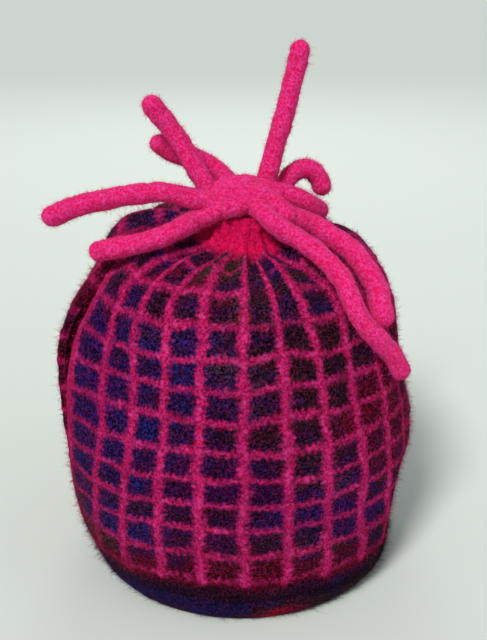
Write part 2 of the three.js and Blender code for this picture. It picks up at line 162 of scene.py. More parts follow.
CORD_RADIUS, PLUMP_RADIUS = 5.0, 5.6
PLUMP_CORD = "cord_right_upper"
CORDS = {
    "cord_far_left": [
        (-12, -4, 196.5), (-27.9, -2.9, 200.3), (-40, -1.7, 203.3),
        (-52.1, -0.5, 203.3), (-69.1, -0.1, 201.3), (-83.6, -0.4, 198.9),
        (-94.8, -1.5, 195.6),
    ],
    "cord_lower_left": [
        (-10, -9, 196.5), (-23.3, -4.5, 190.4), (-35, -11, 187.5),
        (-47.5, -12.4, 183.5), (-61.6, -8.2, 179.8), (-73.6, -3.5, 177),
    ],
    "cord_upper_left": [
        (-13, 3, 197), (-20.4, 7.5, 208.4), (-24.5, 11.7, 216.8), (-28.7, 14.9, 224.9),
        (-35.4, 17.8, 234.6), (-41.3, 19.4, 242.4),
    ],
    "cord_behind_left": [
        (-1.6, 10, 198), (-7, 18, 205.7), (-14.6, 24, 211.7), (-26.7, 28, 215.1),
        (-36.4, 30.5, 220.8),
    ],
    "cord_tall": [
        (10.5, 8, 197), (15, 9.4, 205.8), (18.4, 10.6, 216.3), (23.6, 11.3, 233.6),
        (28.3, 12.1, 250.5), (32.4, 13.1, 267.2),
    ],
    "cord_curled": [
        (17, 12, 194), (25.5, 14.5, 199.5), (29.9, 16, 204), (35, 16.5, 206.8),
        (40.8, 16, 206.1), (45, 14.9, 201.3), (46.3, 13.5, 197.8),
    ],
    "cord_arched": [
        (8, -2, 200), (16, -5, 201), (26, -8.5, 198), (33, -7.5, 193.5),
        (38.5, -3.5, 189.5),
    ],
    "cord_right_upper": [
        (8, -11, 196), (19, -16.5, 191.5), (32, -15.5, 185.4), (40.2, -22.3, 180.2),
        (48.6, -29.5, 173.7), (51, -40, 168.7), (53.8, -48, 161.3), (53.5, -55, 154.2),
        (53.9, -57, 150.3),
    ],
    "cord_right_lower": [
        (4, -14, 195.5), (9, -22.5, 190.2), (14.8, -25, 186), (21.3, -29, 182.2),
        (28.2, -39.3, 177), (34.9, -49.6, 168.6), (37.2, -56.2, 160.6),
        (41.2, -61.6, 151), (49.2, -63.4, 141.2), (57.4, -62.3, 131.9),
        (62.5, -61.7, 123),
    ],
}
CORD_SIDES, CORD_STEP = 30, 0.95
ROOT_IN = 0.55  # how far each cord's root goes on towards the knot's middle
# A cord's thickness swells by this share, in swells of this length.
CORD_SWELL, SWELL_LENGTH = 0.04, 16
TIP_LEANS = np.radians([12, 24, 36, 48, 60, 71, 81])  # of the rings in a round tip
# The knot is a low mound with four crossing bights.
KNOT_Z, KNOT_SIDES, KNOT_VOXEL = 197, (15, 13.5, 8), 0.8
MOUND_SIDES, MOUND_RINGS, MOUND_TILT = 48, 25, 1.45
BIGHT_RADIUS, BIGHT_SIDES, BIGHT_STEP, BIGHT_LUMPY = 5.2, 24, 1.2, 0.5
BIGHTS = [
    [(-17, -4, 196), (-8, -4, 201), (3, -7, 201.5), (12, -13, 197), (17, -18.5, 192.5)],
    [(-15, 3, 199.5), (-8, 1, 203.5), (0, 0, 204.5), (8, -2, 202.5), (16, -6, 200)],
    [(-14, -11, 195.5), (-6, -11, 197), (2, -9, 198), (9, 0, 197.5), (18, 11, 196)],
    [(-3, 10, 200), (3, 8, 201), (8, 7.5, 201), (12, 8.5, 200)],
]

# ---------- colours
# The dark yarn runs through these shades, linear RGB.
SHADES = {
    "navy": (0.006, 0.006, 0.07),
    "indigo": (0.016, 0.003, 0.068),
    "black": (0.005, 0.0012, 0.008),
    "brown": (0.016, 0.004, 0.006),
    "olive": (0.03, 0.016, 0.01),
    "maroon": (0.08, 0.001, 0.01),
    "plum": (0.022, 0.001, 0.03),
    # The next shade is a pinkish haze on the dark yarn, partly its stray pink fibres and
    # partly painted sheen on the sides that turn from the light.
    "mauve_and_sheen": (0.095, 0.016, 0.048),
    "red": (0.3, 0.001, 0.02),
}
RARE_SHADES, RARENESS = ("mauve_and_sheen", "red"), 2.5  # only where a patch asks for them
# How strongly shades drift along a row and fleck it, and how sharply they part.
DRIFTING, FLECKING, PARTING = 1.7, 1.2, 1.6
# Where a shade gathers: check across, check row, reach in both, strength.
SHADE_PATCHES = {
    "indigo": [
        (1.3, 7, 1.6, 4, 3.2), (7.5, 2, 1.5, 1, 2.2), (9, 1.5, 1.6, 1.2, 1.8),
        (22.5, 9, 2, 1.4, 3.0),
    ],
    "navy": [
        (2.2, 4, 1.6, 3, 2.6), (4.4, 7, 1.0, 2, 1.8), (7.4, 10.8, 0.8, 0.8, 3.0),
        (2.4, 0.8, 0.9, 0.9, 2.4), (3.5, -1.7, 4.5, 0.7, 2.6),
        (31.3, 10.4, 0.8, 0.8, 3.0),
    ],
    "olive": [
        (4.5, 10.3, 1.3, 0.9, 3.4), (5.2, 7.6, 0.8, 0.8, 1.6),
        (9.5, -2.0, 1.8, 0.6, 2.8),
    ],
    "black": [
        (5, 6, 1.2, 1.2, 2.2), (6, -1.5, 9, 0.5, 2.8), (33, 3, 0.8, 4, 2.0),
    ],
    "brown": [
        (6.8, 7, 1.3, 2.6, 3.0), (9, 7.5, 2, 2.5, 2.6),
    ],
    "maroon": [
        (8.4, 5.0, 0.9, 0.7, 2.2), (6.5, 0, 4, 0.55, 4.0), (6.5, -0.6, 9, 0.3, 5.0),
        (26.5, -0.6, 9, 0.3, 5.0), (2.6, -0.5, 2.0, 0.5, 2.6),
        (9.8, 4.5, 1.4, 2.6, 2.6), (4.5, 9.4, 2.5, 0.9, 1.6),
        (32.5, 9.2, 0.8, 1.6, 4.0), (33, 5, 0.7, 4, 2.6),
    ],
    "plum": [
        (5, 2.8, 3.2, 1.7, 2.4), (11, 5, 1.5, 4, 2.0),
    ],
    "red": [
        (6.4, -2.2, 0.9, 0.45, 7.0),
    ],
    # The haze's patches: painted sheen together with the fibre haze, mostly towards the spout
    # slit.
    "mauve_and_sheen": [
        (12.2, 5.5, 1.7, 5.0, 5.5), (11.4, 0.6, 1.2, 0.8, 2.4),
        (0.6, 0.3, 1.6, 1.4, 3.6),
    ],
}


# ---------- small tools
def smooth(low, high, x):
    t = np.clip((x - low) / (high - low), 0, 1)
    return t * t * (3 - 2 * t)


def turn(start, end):
    return (end - start + 540) % 360 - 180


def cell_values(cells, seed):
    """A fixed pseudo-random number from 0 to 1 for each whole-numbered cell."""
    n = cells.astype(np.int64).astype(np.uint32)
    h = n[..., 0] * np.uint32(374761393) + n[..., 1] * np.uint32(668265263)
    h = h + n[..., 2] * np.uint32(2246822519) + np.uint32(seed * 977 + 13)
    h = (h ^ (h >> np.uint32(13))) * np.uint32(1274126177)
    return (h ^ (h >> np.uint32(16))) / 4294967295.0


def lumps(points, size, seed=0):
    """Smooth noise from -1 to 1 with lumps of about this size."""
    q = np.asarray(points, float) / size
    base = np.floor(q)
    f = q - base
    f = f * f * (3 - 2 * f)
    total = 0
    for corner in itertools.product((0, 1), repeat=3):
        weight = np.prod(np.where(corner, f, 1 - f), axis=-1)
        total = total + weight * cell_values(base + corner, seed)
    return total * 2 - 1


def felt_lumps(points, layers, seed=0):
    """Several sizes of lump on one another: height, size and own seed of each."""
    total = 0
    for height, size, own_seed in layers:
        total = total + height * lumps(points, size, seed + own_seed)
    return total


def quad_grid(grid):
    """Quads between a grid of point numbers and its neighbours."""
    a, b, c, d = grid[:-1, :-1], grid[:-1, 1:], grid[1:, 1:], grid[1:, :-1]
    return np.stack([a, b, c, d], -1).reshape(-1, 4)


def capped(rings, ends):
    """Points and faces of rings of points, closed by a point at each end."""
    n, sides = rings.shape[:2]
    grid = np.arange(n * sides).reshape(n, sides)
    grid = np.concatenate([grid, grid[:, :1]], 1)
    root, tip = n * sides, n * sides + 1
    fans = [(root, grid[0, i + 1], grid[0, i]) for i in range(sides)]
    fans += [(grid[-1, i], grid[-1, i + 1], tip) for i in range(sides)]
    return np.vstack([rings.reshape(-1, 3), ends]), [quad_grid(grid), np.array(fans)]


def unit(v):
    return v / np.maximum(np.linalg.norm(v, axis=-1, keepdims=True), 1e-12)


def read(items, key, width=3, kind=float):
    """A value of a mesh's vertices, triangles or corners, with a row for each."""
    flat = np.empty(len(items) * width, kind)
    items.foreach_get(key, flat)
    return flat.reshape(-1, width)


def add_mesh(name, points, faces, materials, uv=None, slots=None, merge=False):
    """An object from points in millimetres about the neck's axis."""
    points = np.asarray(points, float)
    corners = [np.asarray(f, int) for f in faces]
    flat = np.concatenate([f.ravel() for f in corners])
    sizes = np.concatenate([np.full(len(f), f.shape[1]) for f in corners])
    uv_flat = None if uv is None else np.asarray(uv, float)[flat]
    if merge:
        key = np.round(points, 4)
        _, first, back = np.unique(key, axis=0, return_index=True, return_inverse=True)
        points, flat = points[first], back.reshape(-1)[flat]
    mesh = bpy.data.meshes.new(name)
    mesh.vertices.add(len(points))
    mesh.vertices.foreach_set("co", ((points + NECK) / 1000).ravel())
    mesh.loops.add(len(flat))
    mesh.loops.foreach_set("vertex_index", flat)
    mesh.polygons.add(len(sizes))
    starts = np.concatenate([[0], np.cumsum(sizes)[:-1]])
    mesh.polygons.foreach_set("loop_start", starts)
    if slots is not None:
        mesh.polygons.foreach_set("material_index", slots)
    mesh.update(calc_edges=True)
    mesh.validate()
    mesh.shade_smooth()
    if uv_flat is not None:
        layer = mesh.uv_layers.new(name="Knit")
        layer.uv.foreach_set("vector", uv_flat.ravel())
    for material in materials:
        mesh.materials.append(material)
    obj = bpy.data.objects.new(name, mesh)
    bpy.context.scene.collection.objects.link(obj)
    return obj


# ---------- the shell's surface
def profile(column, row):
    row = np.asarray(row, float)
    last = len(PROFILE) - 1
    i = np.clip(np.floor(row).astype(int), 0, last - 1)
    t = row - i
    a, b, c, d = (PROFILE[np.clip(i + k, 0, last), column] for k in (-1, 0, 1, 2))
    bend = 2 * a - 5 * b + 4 * c - d
    return b + 0.5 * t * (c - a + t * (bend + t * (3 * (b - c) + d - a)))


def pleat_wave(angle):
    at, height = PLEATS.T
    after = np.searchsorted(at, angle, side="right") % len(at)
    before = (after - 1) % len(at)
    t = ((angle - at[before]) % 360) / ((at[after] - at[before]) % 360)
    tall = height[before] + (height[after] - height[before]) * t
    return tall * np.cos(2 * np.pi * t)


def relief(angle, row):
    angle = angle % 360
    swelling = 0
    for at, middle, wide, tall, out in SWELLS:
        across, along = turn(at, angle) / wide, (row - middle) / tall
        swelling = swelling + out * np.exp(-(across**2) - along**2)
    strength = smooth(PLEATS_FROM, PLEATS_FULL, row)
    strength = strength * (1 - PLEATS_LOST * smooth(PLEATS_FULL, PLEATS_EASED, row))
    return strength * pleat_wave(angle) + smooth(0, SWELLS_FULL, row) * swelling


def slit_share(row):
    return np.clip((row - SLIT_FROM) / (SLIT_TO - SLIT_FROM), 0, 1)


def slit_shape(row):
    return np.sin(np.pi * slit_share(row)) ** 0.8


def push_shape(row):
    skewed = slit_share(row) ** (math.log(0.5) / math.log(PUSH_PEAK))
    return np.sin(np.pi * skewed) ** 2


def surface_point(angle, row, flare=0):
    step = 0.01
    along = profile(Z, row + step) - profile(Z, row - step)
    inward = profile(SIDE, row - step) - profile(SIDE, row + step)
    length = np.hypot(along, inward)
    out = relief(angle, row)
    outward = flare + out * along / length
    upward = out * inward / length
    cos, sin = np.cos(np.radians(angle)), np.sin(np.radians(angle))
    reach = np.where(sin < 0, profile(FRONT, row), profile(BACK, row))
    rise = profile(RISE, row) * (1 + np.cos(np.radians(angle - RISE_AT))) / 2
    return np.stack(
        [
            (profile(SIDE, row) + outward) * cos,
            (reach + outward) * sin,
            profile(Z, row) + rise + upward,
        ],
        -1,
    )


def surface_normal(angle, row):
    step = 0.05
    across = surface_point(angle + step, row) - surface_point(angle - step, row)
    along = surface_point(angle, row + step) - surface_point(angle, row - step)
    return unit(np.cross(across, along))


def panel_place(panel, share, row):
    first, last = ("handle", "spout") if panel == "front" else ("spout", "handle")

    def shift(slit):
        return np.degrees(slit_shape(row) * SLITS[slit][panel][0] / profile(SIDE, row))

    def fade(degrees):
        return np.exp(-((degrees / EDGE_REACH) ** 2))

    begin = (180 if panel == "front" else 0) + shift(first)
    end = (360 if panel == "front" else 180) - shift(last)
    angle = begin + (end - begin) * share
    pushed = SLITS[first][panel][1] * fade(angle - begin)
    pushed = pushed + SLITS[last][panel][1] * fade(end - angle)
    tuck = TUCK_OUT * np.exp(-(((row - TUCK_ROW) / TUCK_TALL) ** 2))
    tuck = tuck * smooth(0, TUCK_HEM_ROW, row)
    if panel == "front":
        tuck = tuck * smooth(TUCK_FROM, TUCK_FULL, angle)
    else:
        tuck = tuck * (1 - smooth(0, TUCK_END, angle)) * (1 - smooth(*TUCK_BACK_ROWS, row))
    return angle, push_shape(row) * pushed + tuck


# ---------- the knitted pattern
def knit_place(panel, share, row):
    """Checks across and check rows, at a share of the way across a panel."""

    def strayed(layers):
        total = 0
        for height, wide, tall, seed in layers:
            total = total + height * lumps(place * (wide, tall, 0), 1.0, seed)
        return total

    gathered = smooth(*GATHER_ROWS, row)
    places = GATHERS[:, 0], GATHERS[:, 1]
    if panel == "back":
        places = 1 - GATHERS[::-1, 0], 1 - GATHERS[::-1, 1]
    plain = share + (np.interp(share, *places) - share) * gathered
    across = plain * CHECKS + (0 if panel == "front" else BACK_FIRST) + 0 * row
    up = np.interp(row, *CHECK_AT.T) + 0 * share
    free = smooth(*STRAY_EDGE, np.minimum(share, 1 - share) * CHECKS)
    free = free * (1 - smooth(*STRAY_TOP, up))
    place = np.stack([across, up, 0 * up], -1)
    aside = STRAY_ASIDE * free * strayed(STRAY_COLUMNS)
    upward = STRAY_UP * free * strayed(STRAY_ROWS)
    return np.stack([across + aside, up + upward], -1)


def pinkness(knit):
    """1 in the pink grid, the slits' rims and the neck, 0 in the dark yarn."""

    def within(reach, blur, value):
        return smooth(reach + blur, reach - blur, value)

    u, v = knit[..., 0], knit[..., 1]
    on_front = u < BACK_FIRST
    local = u % BACK_FIRST
    edge = np.minimum(local, CHECKS - local)
    slit = smooth(*SLIT_FOOT, v) * (1 - smooth(*SLIT_HEAD, v))
    column = within(PINK_COLUMN, 0.03, np.abs(u % 1 - 0.5))
    column = column * (1 - slit * (edge < 1) * on_front)
    rim = slit * within(np.where(on_front, RIM, BACK_RIM), 0.03, edge)
    row = within(PINK_ROW, 0.04, np.abs(v % 1 - 0.5))
    neck = smooth(NECK_START - 0.1, NECK_START + 0.1, v)
    pink = np.maximum(np.maximum(np.maximum(column, row), rim), neck)
    return pink * smooth(HEM_TOP - 0.05, HEM_TOP + 0.05, v)


def shade_weights(knit):
    """How much of each dark shade the yarn has, in the order of SHADES."""
    u, v = knit[..., 0], knit[..., 1]
    # The yarn drifts along each row of checks, apart from its neighbours, and flecks.
    row = np.round(v)
    drift = np.stack([u * 0.55 + row * 7.3, row * 3.1, v * 0.35], -1)
    flecks = knit[..., [0, 1, 1]] * (2.4, 3.2, 0)
    field = []
    for i, name in enumerate(SHADES):
        rareness = RARENESS if name in RARE_SHADES else 0
        weight = DRIFTING * lumps(drift, 1.0, 20 + i) - rareness
        weight = weight + FLECKING * lumps(flecks, 1.0, 40 + i)
        for at_u, at_v, wide, tall, strength in SHADE_PATCHES.get(name, ()):
            off = ((u - at_u) / wide) ** 2 + ((v - at_v) / tall) ** 2
            weight = weight + strength * np.exp(-off)
        field.append(weight)
    weights = np.exp(PARTING * np.stack(field, -1))
    return weights / weights.sum(-1, keepdims=True)


# ---------- materials
# Sizes in millimetres of the noises that mottle the felt.
GRAIN, FINE, TUFT, WIDE, BROAD = 1.25, 1.7, 3.6, 6.0, 24.0
CORD_GRAIN, CORD_FINE = 1.3, 2.0
BESIDE = (0.31, 0.17, 0.23)  # moves a second set of noises away from the first
SPECULAR, SHEEN_ROUGHNESS = 0.03, 0.5


class Shader:
    """A Principled material whose nodes are written as plain calls."""

    def __init__(self, name, color, roughness, sheen=0.0, sheen_tint=(1, 1, 1)):
        self.material = bpy.data.materials.new(name)
        self.material.use_nodes = True
        self.nodes = self.material.node_tree.nodes
        self.links = self.material.node_tree.links
        self.surface = self.nodes["Principled BSDF"]
        self.set(self.surface, "Base Color", (*color, 1))
        self.set(self.surface, "Roughness", roughness)
        self.set(self.surface, "Specular IOR Level", SPECULAR)
        self.set(self.surface, "Sheen Weight", sheen)
        self.set(self.surface, "Sheen Roughness", SHEEN_ROUGHNESS)
        self.set(self.surface, "Sheen Tint", (*sheen_tint, 1))

    def set(self, node, socket, value):
        target = node.inputs[socket]
        if isinstance(value, bpy.types.NodeSocket):
            self.links.new(value, target)
        else:
            target.default_value = value

    def node(self, kind, output=0, inputs=(), **settings):
        made = self.nodes.new("ShaderNode" + kind)
        for key, value in settings.items():
            setattr(made, key, value)
        for socket, value in dict(inputs).items():
            self.set(made, socket, value)
        return made.outputs[output]

    def math(self, operation, *values, clamp=False):
        inputs = dict(enumerate(values))
        return self.node("Math", 0, inputs, operation=operation, use_clamp=clamp)

    def times(self, first, *others):
        for value in others:
            first = self.math("MULTIPLY", first, value)
        return first

    def scaled(self, value, factor, base=0.0):
        """The value times a factor, plus a base."""
        return self.math("MULTIPLY_ADD", value, factor, base)

    def most(self, first, *others):
        for value in others:
            first = self.math("MAXIMUM", first, value)
        return first

    def inverse(self, value):
        return self.math("SUBTRACT", 1.0, value)

    def off_middle(self, value, middle=0.5):
        return self.math("ABSOLUTE", self.math("SUBTRACT", value, middle))

    def step(self, value, low, high):
        """1 where value is under low, 0 where it is over high."""
        inputs = {0: value, 1: low, 2: high, 3: 1.0, 4: 0.0}
        return self.node("MapRange", 0, inputs, interpolation_type="SMOOTHSTEP")

    def rise(self, value, low, high):
        """0 where value is under low, 1 where it is over high."""
        return self.inverse(self.step(value, low, high))

    def mix(self, share, a, b, blend="MIX"):
        """From colour a to colour b; each is a socket or three numbers."""
        a, b = ((*color, 1) if isinstance(color, tuple) else color for color in (a, b))
        inputs = {"Factor": share, 6: a, 7: b}
        return self.node("Mix", 2, inputs, data_type="RGBA", blend_type=blend)

    def noise(self, where, size, detail=2.0, rough=0.5):
        """Noise from 0 to 1 with lumps of this many millimetres."""
        inputs = {"Vector": where, "Scale": 1000 / size, "Detail": detail, "Roughness": rough}
        return self.node("TexNoise", 0, inputs)

    def bump(self, height, distance, strength, normal=None):
        inputs = {"Height": height, "Distance": distance, "Strength": strength}
        if normal is not None:
            inputs["Normal"] = normal
        return self.node("Bump", 0, inputs)


PINK = (0.64, 0.013, 0.175)
PINK_LIGHT = (0.73, 0.055, 0.29)
PINK_DEEP = (0.44, 0.004, 0.09)
PINK_RED = (0.66, 0.005, 0.09)
NECK_PINK = (0.74, 0.004, 0.085)
NECK_DEEP = (0.3, 0.0005, 0.025)
# The grid's pinks are the cords' pinks darkened by about a third: painted shade for the felt's
# self-shadow on the shell.
GRID_SHADED_PINK = (0.42, 0.003, 0.085)
GRID_SHADED_PALE = (0.53, 0.02, 0.15)
GRID_SHADED_RED = (0.5, 0.001, 0.035)
GRID_SHADED_DEEP = (0.17, 0.001, 0.04)
BLUE_FLECK = (0.008, 0.011, 0.13)
WARM_FLECK = (0.055, 0.013, 0.014)
PINK_FLECK = (0.3, 0.004, 0.08)


def felt_fields(s):
    """The noises and check numbers that the checked felt's colours hang on."""

    def ripple(value, times):
        return s.off_middle(s.math("FRACT", s.times(value, float(times))))

    def strayed(value, fine, fine_reach, wide, wide_reach):
        for noise, reach in ((fine, fine_reach), (wide, wide_reach)):
            value = s.scaled(s.math("SUBTRACT", noise, 0.5), reach, value)
        return value

    f = SimpleNamespace()
    where = s.node("TexCoord", "Object")
    f.beside = s.node("VectorMath", 0, {0: where, 1: BESIDE}, operation="ADD")
    f.fine, f.fine_b = (s.noise(at, FINE, 3, 0.6) for at in (where, f.beside))
    f.wide, wide_b = (s.noise(at, WIDE, 2, 0.5) for at in (where, f.beside))
    f.grain, f.grain_b = (s.noise(at, GRAIN, 2, 0.6) for at in (where, f.beside))
    knit = s.node("UVMap", 0, uv_map="Knit")
    f.across, up = (s.node("SeparateXYZ", k, {0: knit}) for k in (0, 1))

    # Each stitch is a V, so the edges of checks are toothed.
    f.vee, rung = ripple(f.across, STITCHES), ripple(up, STITCH_ROWS)
    u = strayed(f.across, f.fine, 0.32, f.wide, 0.28)
    u = s.scaled(s.math("SUBTRACT", rung, 0.25), 0.1, u)
    v = strayed(up, f.fine_b, 0.38, wide_b, 0.26)
    v = s.scaled(s.math("SUBTRACT", f.vee, 0.25), 0.16, v)
    f.u, f.v = u, v

    local = s.math("MODULO", u, float(BACK_FIRST))
    f.edge = s.math("MINIMUM", local, s.math("SUBTRACT", float(CHECKS), local))
    f.from_middle = s.off_middle(f.across, FRONT_MIDDLE)
    f.front = s.step(u, BACK_FIRST - 0.1, BACK_FIRST + 0.1)
    f.slit = s.times(s.rise(v, *SLIT_FOOT), s.step(v, *SLIT_HEAD))
    # The outermost check at a slit is dark up to the rim.
    outer = s.times(f.slit, s.step(f.edge, 0.99, 1.01), f.front)
    column = s.off_middle(s.math("FRACT", u))
    column = s.step(column, PINK_COLUMN - 0.1, PINK_COLUMN + 0.09)
    f.column = s.times(column, s.inverse(outer))
    f.neck = s.rise(v, NECK_START - 0.3, NECK_START + 0.3)
    f.hem = s.step(v, HEM_TOP - 0.12, HEM_TOP + 0.12)
    return f


def pink_share(s, f):
    """1 in the pink grid, the slits' rims and the neck, 0 in the dark yarn."""
    from_rim = s.scaled(f.front, BACK_RIM - RIM, f.edge)
    rim = s.times(f.slit, s.step(from_rim, BACK_RIM - 0.09, BACK_RIM + 0.09))
    row = s.off_middle(s.math("FRACT", f.v))
    row = s.step(row, PINK_ROW - 0.1, PINK_ROW + 0.1)
    # Painted shade: in the two deep folds in front of the neck the pink rows are mostly taken
    # out, so the folds read dark.
    fold_shade = s.times(s.step(f.from_middle, 0.9, 1.1), s.rise(f.v, 8.3, 8.7))
    shown = s.scaled(fold_shade, -0.75, s.scaled(f.wide, 1.7))
    # The lowest row is worked in the hem's maroon as much as in pink.
    shown = s.scaled(s.step(f.v, -0.1, 0.1), s.scaled(f.fine, 2.4, -1.6), shown)
    row = s.times(row, s.math("ADD", shown, 0.0, clamp=True))
    pink = s.most(f.column, row, rim)
    # Towards the hem the grid fades out beside both slits.
    corner = s.times(s.step(s.scaled(f.v, 0.9, f.edge), 0.9, 3.0), f.front)
    pink = s.times(pink, s.scaled(corner, -0.65, 1.0))
    return s.times(s.most(pink, f.neck), s.inverse(f.hem))


def dark_yarn(s, f):
    """The variegated yarn with its dark grain and flecks of other fibres."""
    yarn = s.node("VertexColor", 0, layer_name="yarn")
    # The hem's yarn is darker, with fewer blue flecks.
    speck = s.node("MapRange", 0, {0: f.grain, 1: 0.36, 2: 0.68, 3: 0.1, 4: 1.0})
    speck = s.times(speck, speck, s.scaled(f.hem, -0.9, 2.9))
    dark = s.mix(1.0, yarn, speck, "MULTIPLY")
    blue = s.times(s.step(f.fine_b, 0.36, 0.46), s.step(f.grain_b, 0.42, 0.56))
    dark = s.mix(s.times(blue, s.scaled(f.hem, -0.3, 0.6)), dark, BLUE_FLECK)
    warm = s.times(s.step(f.fine, 0.36, 0.44), s.step(f.grain_b, 0.45, 0.6))
    dark = s.mix(s.times(warm, 0.45), dark, WARM_FLECK)
    stray = s.times(s.step(f.grain_b, 0.3, 0.4), s.step(f.fine_b, 0.5, 0.7))
    return s.mix(s.times(stray, 0.4), dark, PINK_FLECK)


def pink_yarn(s, f):
    """The grid's pink, painted darker than the cords' pink as shade, redder at the hem and the
    neck, with tufts, dull patches and painted shade towards the slits.
    """
    lower = s.times(s.step(f.v, 0.6, 4.4), s.scaled(f.column, -0.7, 1.0))
    rosy = s.mix(s.most(s.step(f.fine, 0.4, 0.6), lower), GRID_SHADED_PINK, GRID_SHADED_RED)
    # Low on the front the columns are brighter than the rows between them.
    middle = s.times(s.step(f.from_middle, 2.0, 4.5), f.column, s.step(f.v, 2.5, 6.5))
    rosy = s.mix(s.times(middle, 0.75), rosy, PINK)
    rosy = s.mix(s.times(lower, 0.35), rosy, GRID_SHADED_DEEP)
    rosy = s.mix(s.step(f.grain, 0.34, 0.54), GRID_SHADED_PALE, rosy)
    rosy = s.mix(s.times(s.step(f.grain_b, 0.36, 0.58), 0.8), rosy, GRID_SHADED_DEEP)
    # Pale tufts a few millimetres across stand out of the pink.
    tufts = s.rise(s.noise(f.beside, TUFT, 1, 0.5), 0.53, 0.68)
    rosy = s.mix(s.times(tufts, 0.5), rosy, PINK_LIGHT)
    # The pink yarn is duller in broad patches, and painted shade darkens it towards the slits,
    # where the shell's sides turn from the light.
    broad = s.step(s.noise(f.beside, BROAD, 1, 0.5), 0.35, 0.6)
    sides = s.most(s.step(f.across, 0.4, 3.2), s.step(f.edge, 0.2, 2.4))
    dull_and_side_shade = s.scaled(broad, 0.25, s.times(sides, 0.3))
    rosy = s.mix(s.times(dull_and_side_shade, s.inverse(f.neck)), rosy, GRID_SHADED_DEEP)
    # The neck is a warmer pink, with deep red and bright specks.
    mottled = s.mix(s.times(s.step(f.fine_b, 0.36, 0.6), 0.75), NECK_PINK, NECK_DEEP)
    mottled = s.mix(s.step(f.grain_b, 0.3, 0.44), mottled, PINK)
    return s.mix(s.times(f.neck, 0.85), rosy, mottled)


def checked_felt():
    s = Shader("checked_felt", (0.2, 0.02, 0.1), 0.95, 0.025, (1.0, 0.42, 0.68))
    f = felt_fields(s)
    color = s.mix(pink_share(s, f), dark_yarn(s, f), pink_yarn(s, f))
    s.set(s.surface, "Base Color", color)
    ribs = s.bump(f.vee, 0.0008, 0.25)
    soft = s.bump(f.fine, 0.0016, 0.55, ribs)
    s.set(s.surface, "Normal", s.bump(f.grain, 0.0008, 0.6, soft))
    return s.material


def pink_felt():
    s = Shader("pink_felt", PINK, 0.95, 0.24, (1.0, 0.3, 0.66))
    where = s.node("TexCoord", "Object")
    wide = s.noise(where, WIDE, 2, 0.5)
    fine = s.noise(where, CORD_FINE, 3, 0.6)
    grain = s.noise(where, CORD_GRAIN, 2, 0.6)
    color = s.mix(s.step(grain, 0.4, 0.6), PINK_RED, PINK_LIGHT)
    color = s.mix(s.times(s.step(fine, 0.35, 0.55), 0.5), color, PINK)
    color = s.mix(s.times(s.step(wide, 0.35, 0.6), 0.35), color, PINK_RED)
    color = s.mix(s.times(s.rise(fine, 0.48, 0.68), 0.28), color, PINK_DEEP)
    s.set(s.surface, "Base Color", color)
    soft = s.bump(fine, 0.0018, 0.6)
    s.set(s.surface, "Normal", s.bump(grain, 0.001, 0.5, soft))
    return s.material


def fibre(name, color):
    tint = tuple(min(1.0, 0.35 + 0.9 * c) for c in color)
    return Shader(name, color, 0.8, 0.05, tint).material


def fibres(colors):
    return [fibre(name + "_fibre", color) for name, color in colors.items()]


# ---------- the shell's mesh
def zip_edges(fine, coarse):
    """Triangles between two edges, where coarse has a quarter of fine's steps."""
    faces = []
    for j in range(len(coarse) - 1):
        f, a, b = fine[4 * j : 4 * j + 5], coarse[j], coarse[j + 1]
        faces += [(a, f[0], f[1]), (a, f[1], f[2]), (a, f[2], b)]
        faces += [(b, f[2], f[3]), (b, f[3], f[4])]
    return faces


def felted(panel, share, row, knit):
    """The outer surface with its lumps, the raised grid and the soft stitches."""
    angle, flare = panel_place(panel, share, row)
    at, normal = surface_point(angle, row, flare), surface_normal(angle, row)
    grid = GRID_RAISED * pinkness(knit) * smooth(0, GRID_FULL_ROW, row)
    lift = felt_lumps(at, SHELL_LUMPS) + grid
    stitch = np.abs((knit[..., 0] * STITCHES) % 1 - 0.5)
    lift = lift - STITCH_DEEP * stitch * (1 - smooth(*STITCHES_END, row))
    gathered = smooth(*FOLDS_GROW, row) * (1 - smooth(*FOLDS_END, row))
    for at_check, wide, deep in FOLDS:
        lift = lift - deep * gathered * np.exp(-(((knit[..., 0] - at_check) / wide) ** 2))
    lift = lift * smooth(0, LUMPS_FULL_ROW, row)
    return at + normal * lift[..., None]


def inside(panel, share, row):
    """The inner surface, and the flat underside of the hem at row 0."""
    angle, flare = panel_place(panel, share, row)
    at, normal = surface_point(angle, row, flare), surface_normal(angle, row)
    wall = HEM_WALL + (WALL - HEM_WALL) * smooth(*WALL_ROWS, row)
    moved = at - normal * wall[..., None]
    moved[..., 2] = np.maximum(moved[..., 2], INNER_FOOT)
    flat = at * (1 - HEM_FLAT / np.hypot(at[..., 0], at[..., 1]))[..., None]
    flat[..., 2] = 0
    return np.where((row == 0)[..., None], flat, moved)


